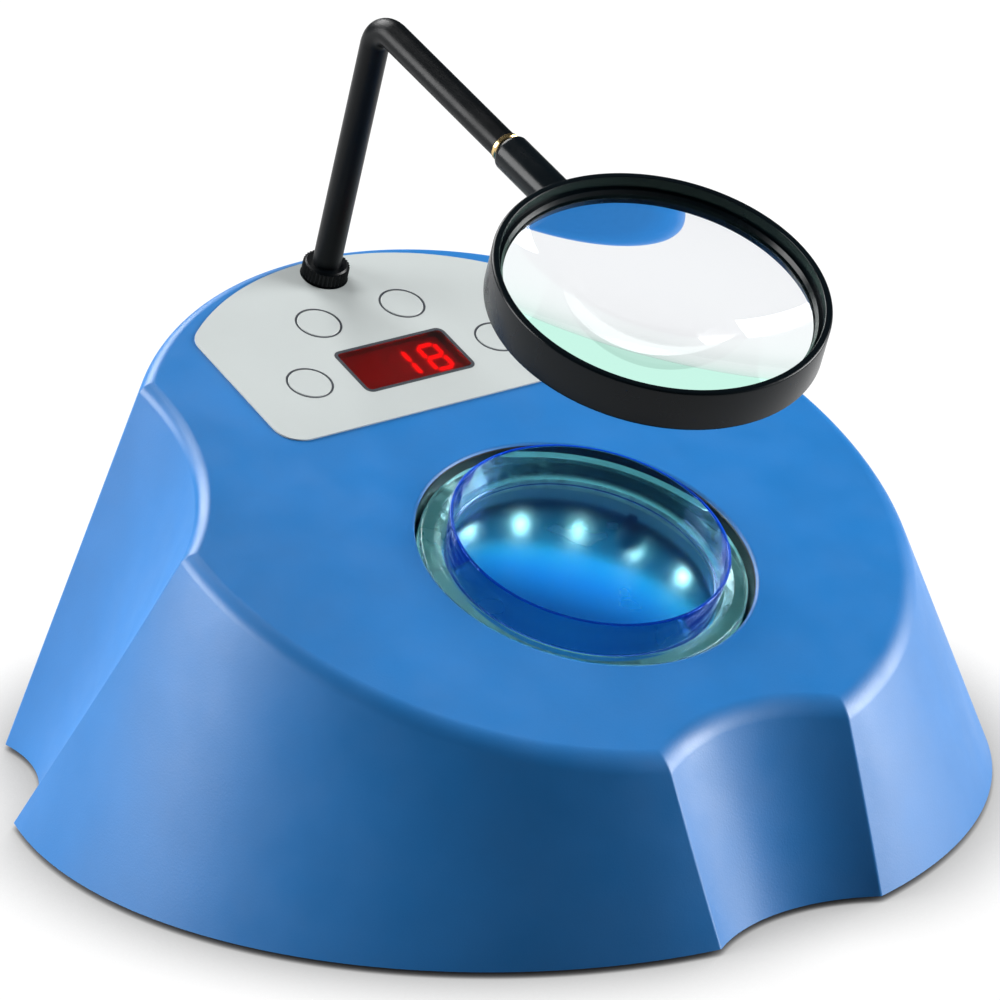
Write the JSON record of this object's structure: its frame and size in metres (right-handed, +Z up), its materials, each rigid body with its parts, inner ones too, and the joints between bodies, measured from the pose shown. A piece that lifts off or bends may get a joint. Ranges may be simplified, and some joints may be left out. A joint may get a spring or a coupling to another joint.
{
  "type": "colony counter",
  "caption": "Bench colony counter: fluted cone housing with a sloping top, lit dish well, key panel with red display, and a magnifier on a swivelling cranked arm.",
  "frame": {"origin": "centre of the base circle, on the bench surface under the feet", "axes": "+Z up, +Y towards the rear connectors, -Y towards the user, +X to the user's right"},
  "size_m": [0.3198, 0.3168, 0.2364],
  "materials": {
    "body_blue": "satin",
    "base_grey": "satin",
    "foot_rubber": "matte",
    "screw_steel": "satin",
    "panel_grey": "matte",
    "window_red": "gloss",
    "digit_red": "gloss",
    "module_black": "matte",
    "board_green": "satin",
    "key_grey": "satin",
    "chamber_white": "satin",
    "field_white": "gloss",
    "led_clear": "gloss",
    "carrier_grey": "gloss",
    "plate_clear": "gloss",
    "dish_clear": "gloss",
    "arm_black": "satin",
    "black_plastic": "gloss",
    "brass": "satin",
    "lens_glass": "gloss",
    "plate_black": "matte",
    "contact_metal": "satin",
    "supply_parts": "satin",
    "core_steel": "satin",
    "cable_grey": "matte",
    "lead_brown": "satin"
  },
  "bodies": {
    "housing": {"top_cover": "body_blue", "base_plate": "base_grey", "rubber_feet": "foot_rubber", "base_screws": "screw_steel", "control_panel": "panel_grey", "display_window": "window_red", "display_digits": "digit_red", "display_module": "module_black", "control_board": "board_green", "key_switches": "module_black", "buzzer": "module_black", "board_screws": "screw_steel", "light_chamber": "chamber_white", "chamber_screws": "screw_steel", "field_disc": "field_white", "led_strip": "board_green", "leds": "led_clear", "platform_pads": "foot_rubber", "press_switch": "module_black", "arm_socket": "brass", "connector_plate": "plate_black", "connector_screws": "screw_steel", "power_inlet": "black_plastic", "inlet_pins": "contact_metal", "rocker_bezel": "black_plastic", "serial_port": "contact_metal", "jack_posts": "contact_metal", "power_board": "board_green", "transformer": "core_steel", "supply_parts": "supply_parts", "ribbon_cable": "cable_grey", "mains_leads": "lead_brown"},
    "key_front_left": {"key_front_left": "key_grey"},
    "key_front_right": {"key_front_right": "key_grey"},
    "key_rear_left": {"key_rear_left": "key_grey"},
    "key_rear_right": {"key_rear_right": "key_grey"},
    "platform": {"platform_carrier": "carrier_grey", "count_plate": "plate_clear", "dish_ring": "carrier_grey"},
    "dish": {"petri_dish": "dish_clear"},
    "collet": {"arm_collet": "brass"},
    "collar": {"knurled_collar": "arm_black"},
    "arm": {"arm_bar": "arm_black", "arm_spigot": "core_steel", "ferrule": "brass"},
    "magnifier": {"lens_socket": "black_plastic", "lens_frame": "black_plastic", "lens": "lens_glass", "lens_retainer": "black_plastic"},
    "rocker": {"power_rocker": "black_plastic"}
  },
  "joints": [
    {"name": "key_front_left_press", "type": "slide", "parent": "housing", "child": "key_front_left", "axis": [0, 0.342, -0.9397], "range_m": [0, 0.0005], "stiffness_N_per_m": 800, "springref_m": -0.0005},
    {"name": "key_front_right_press", "type": "slide", "parent": "housing", "child": "key_front_right", "axis": [0, 0.342, -0.9397], "range_m": [0, 0.0005], "stiffness_N_per_m": 800, "springref_m": -0.0005},
    {"name": "key_rear_left_press", "type": "slide", "parent": "housing", "child": "key_rear_left", "axis": [0, 0.342, -0.9397], "range_m": [0, 0.0005], "stiffness_N_per_m": 800, "springref_m": -0.0005},
    {"name": "key_rear_right_press", "type": "slide", "parent": "housing", "child": "key_rear_right", "axis": [0, 0.342, -0.9397], "range_m": [0, 0.0005], "stiffness_N_per_m": 800, "springref_m": -0.0005},
    {"name": "platform_press", "type": "slide", "parent": "housing", "child": "platform", "axis": [0, 0.342, -0.9397], "range_m": [0, 0.001], "stiffness_N_per_m": 4000, "springref_m": -0.002},
    {"name": "dish_lift", "type": "slide", "parent": "platform", "child": "dish", "axis": [0, -0.342, 0.9397], "range_m": [0, 0.06]},
    {"name": "arm_swivel", "type": "hinge", "parent": "housing", "child": "collet", "pos_m": [0, 0.09416, 0.14027], "axis": [0, -0.342, 0.9397], "range_deg": [-150, 150]},
    {"name": "arm_lift", "type": "slide", "parent": "collet", "child": "arm", "axis": [0, -0.342, 0.9397], "range_m": [0, 0.02]},
    {"name": "lens_turn", "type": "hinge", "parent": "arm", "child": "magnifier", "pos_m": [0.00307, -0.014, 0.2039], "axis": [0.0384, -0.9245, -0.3792], "range_deg": [-90, 90]},
    {"name": "collar_turn", "type": "hinge", "parent": "housing", "child": "collar", "pos_m": [0, 0.09416, 0.14027], "axis": [0, -0.342, 0.9397], "range_deg": [0, 90]},
    {"name": "rocker_tip", "type": "hinge", "parent": "housing", "child": "rocker", "pos_m": [0.012, 0.13, 0.028], "axis": [1, 0, 0], "range_deg": [-16, 0]}
  ]
}
